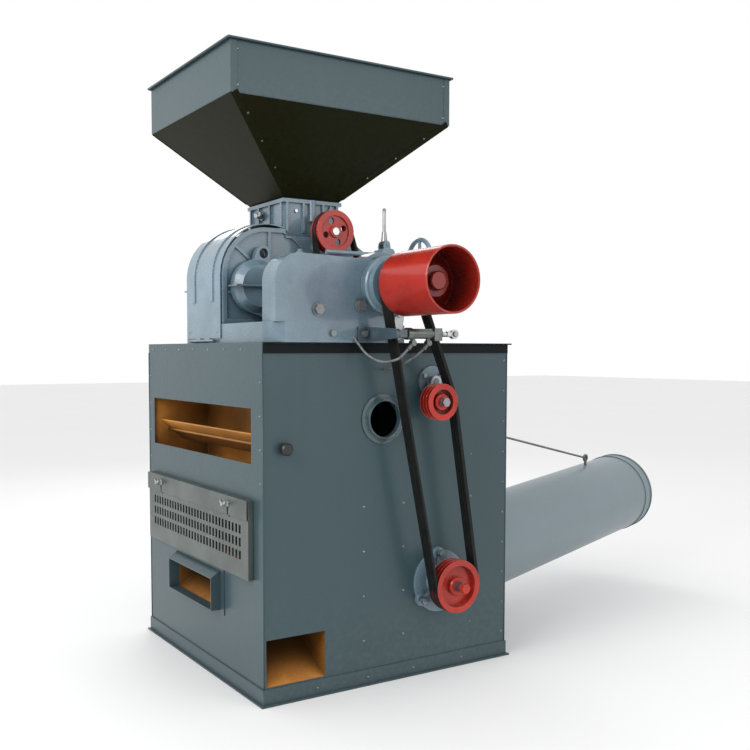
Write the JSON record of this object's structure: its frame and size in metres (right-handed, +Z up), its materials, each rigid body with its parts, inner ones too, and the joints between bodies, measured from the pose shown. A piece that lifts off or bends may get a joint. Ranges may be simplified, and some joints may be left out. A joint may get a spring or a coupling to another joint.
{
  "type": "rubber-roll grain cleaner",
  "caption": "Grain cleaner: a rubber-roll husking head with a square hopper on an aspirating cabinet, with belt drive, side louvre, grain spouts and a round exhaust duct.",
  "frame": {"origin": "centre of the cabinet's footprint, on the floor", "axes": "+Z up; -Y faces the belt side, -X the window and louvre side, +X the exhaust duct"},
  "size_m": [2.3964, 1.3675, 2.09],
  "materials": {
    "cabinet_paint": "blue-grey enamel, satin",
    "black_paint": "black enamel",
    "casting_paint": "blue-grey enamel on rough castings",
    "hopper_paint": "blue-grey enamel on sheet",
    "red_paint": "red enamel, glossy",
    "orange_paint": "orange primer",
    "bare_steel": "zinc-plated or machined",
    "black_rubber": "matt",
    "roll_rubber": "matt",
    "black_plastic": "moulded"
  },
  "bodies": {
    "root": {"adjuster_bracket": "casting_paint", "air_cylinder": "bare_steel", "air_tubes": "black_rubber", "belts": "black_rubber", "cabinet_frame": "cabinet_paint", "chamber_front": "casting_paint", "chamber_rear": "casting_paint", "chamber_shoulder": "casting_paint", "cylinder_bracket": "black_paint", "duct_stay": "bare_steel", "exhaust_duct": "cabinet_paint", "fan_bearing": "cabinet_paint", "fan_scroll": "cabinet_paint", "fast_bearings": "casting_paint", "feed_box": "casting_paint", "front_panel": "cabinet_paint", "front_top_rail": "black_paint", "gear_case": "casting_paint", "grain_chutes": "orange_paint", "head_base": "casting_paint", "hopper_band": "hopper_paint", "hopper_cone": "hopper_paint", "idler_bracket": "casting_paint", "left_panel": "cabinet_paint", "machine_bolts": "bare_steel", "port_ring": "cabinet_paint", "rear_panel": "cabinet_paint", "rice_spout": "cabinet_paint", "right_panel": "cabinet_paint", "screw_heads": "bare_steel", "separation_duct": "orange_paint", "swing_pins": "bare_steel", "top_plate": "cabinet_paint"},
    "main_rotor": {"main_shaft": "bare_steel", "fast_roll": "roll_rubber", "fast_gear": "bare_steel", "drive_pulleys": "red_paint", "main_drum": "red_paint"},
    "swing_frame": {"swing_arms": "casting_paint"},
    "slow_rotor": {"slow_shaft": "bare_steel", "slow_roll": "roll_rubber", "slow_gear": "bare_steel"},
    "feed_roller": {"feed_roll": "bare_steel", "feed_pulley": "red_paint"},
    "fan_wheel": {"fan_rotor": "bare_steel", "fan_pulley": "red_paint"},
    "idler_carrier": {"idler_arm": "bare_steel"},
    "idler_wheel": {"idler_pulley": "red_paint"},
    "roll_guard": {"roll_cover": "casting_paint"},
    "shutter": {"air_shutter": "cabinet_paint"},
    "front_knob": {"wing_knob_front": "bare_steel"},
    "rear_knob": {"wing_knob_rear": "bare_steel"},
    "baffle": {"air_baffle": "orange_paint", "baffle_knob": "black_plastic"},
    "feed_flap": {"feed_gate": "bare_steel"},
    "gate_screw": {"gate_knob": "bare_steel"},
    "adjuster_wheel": {"handwheel": "bare_steel"},
    "hand_lever": {"engage_lever": "bare_steel"},
    "piston": {"cylinder_rod": "bare_steel"},
    "press_gear": {"press_lever": "bare_steel"}
  },
  "joints": [
    {"name": "main_spin", "type": "hinge", "parent": "root", "child": "main_rotor", "pos_m": [-0.043, 0, 1.326], "axis": [0, 1, 0], "continuous": true},
    {"name": "roll_swing", "type": "hinge", "parent": "root", "child": "swing_frame", "pos_m": [-0.11498, 0, 1.17863], "axis": [0, -1, 0], "range_deg": [0, 1.3]},
    {"name": "slow_spin", "type": "hinge", "parent": "swing_frame", "child": "slow_rotor", "pos_m": [-0.26345, 0, 1.281], "axis": [0, 1, 0], "continuous": true},
    {"name": "feed_spin", "type": "hinge", "parent": "root", "child": "feed_roller", "pos_m": [-0.083, 0, 1.528], "axis": [0, 1, 0], "continuous": true},
    {"name": "fan_spin", "type": "hinge", "parent": "root", "child": "fan_wheel", "pos_m": [0.189, 0, 0.316], "axis": [0, 1, 0], "continuous": true},
    {"name": "idler_swing", "type": "hinge", "parent": "root", "child": "idler_carrier", "pos_m": [0.15, -0.52, 1.01], "axis": [0, 1, 0], "range_deg": [0, 15]},
    {"name": "idler_spin", "type": "hinge", "parent": "idler_carrier", "child": "idler_wheel", "pos_m": [0.118, -0.58, 0.944], "axis": [0, 1, 0], "continuous": true},
    {"name": "guard_open", "type": "hinge", "parent": "root", "child": "roll_guard", "pos_m": [-0.479, 0, 1.148], "axis": [0, -1, 0], "range_deg": [0, 75]},
    {"name": "shutter_slide", "type": "slide", "parent": "root", "child": "shutter", "axis": [0, 0, 1], "range_m": [0, 0.04]},
    {"name": "front_knob_turn", "type": "hinge", "parent": "root", "child": "front_knob", "pos_m": [-0.51, -0.284, 0.616], "axis": [1, 0, 0], "range_deg": [0, 180]},
    {"name": "rear_knob_turn", "type": "hinge", "parent": "root", "child": "rear_knob", "pos_m": [-0.51, 0.312, 0.616], "axis": [1, 0, 0], "range_deg": [0, 180]},
    {"name": "baffle_turn", "type": "hinge", "parent": "root", "child": "baffle", "pos_m": [-0.421, 0, 0.808], "axis": [0, 1, 0], "range_deg": [-20, 20]},
    {"name": "gate_swing", "type": "hinge", "parent": "root", "child": "feed_flap", "pos_m": [-0.18, 0, 1.605], "axis": [0, 1, 0], "range_deg": [0, 20]},
    {"name": "gate_screw_turn", "type": "hinge", "parent": "root", "child": "gate_screw", "pos_m": [-0.24, 0.02, 1.601], "axis": [1, 0, 0], "range_deg": [0, 200]},
    {"name": "wheel_turn", "type": "hinge", "parent": "root", "child": "adjuster_wheel", "pos_m": [0.243, -0.3, 1.45], "axis": [1, 0, 0], "range_deg": [-360, 360]},
    {"name": "lever_swing", "type": "hinge", "parent": "root", "child": "hand_lever", "pos_m": [0.088, -0.3, 1.488], "axis": [0, 1, 0], "range_deg": [-35, 35]},
    {"name": "piston_slide", "type": "slide", "parent": "root", "child": "piston", "axis": [1, 0, 0], "range_m": [0, 0.0181]},
    {"name": "press_swing", "type": "hinge", "parent": "root", "child": "press_gear", "pos_m": [0.122, -0.33, 1.241], "axis": [0, -1, 0], "range_deg": [0, 14.1]}
  ],
  "couplings": [
    {"joint": "slow_spin", "follows": "main_spin", "ratio": -0.8},
    {"joint": "feed_spin", "follows": "main_spin", "ratio": 1.3514},
    {"joint": "fan_spin", "follows": "main_spin", "ratio": 0.73333},
    {"joint": "idler_spin", "follows": "main_spin", "ratio": 1.082},
    {"joint": "gate_screw_turn", "follows": "gate_swing", "ratio": 10},
    {"joint": "piston_slide", "follows": "roll_swing", "m_per_rad": 0.79333},
    {"joint": "press_swing", "follows": "roll_swing", "ratio": 10.746}
  ]
}
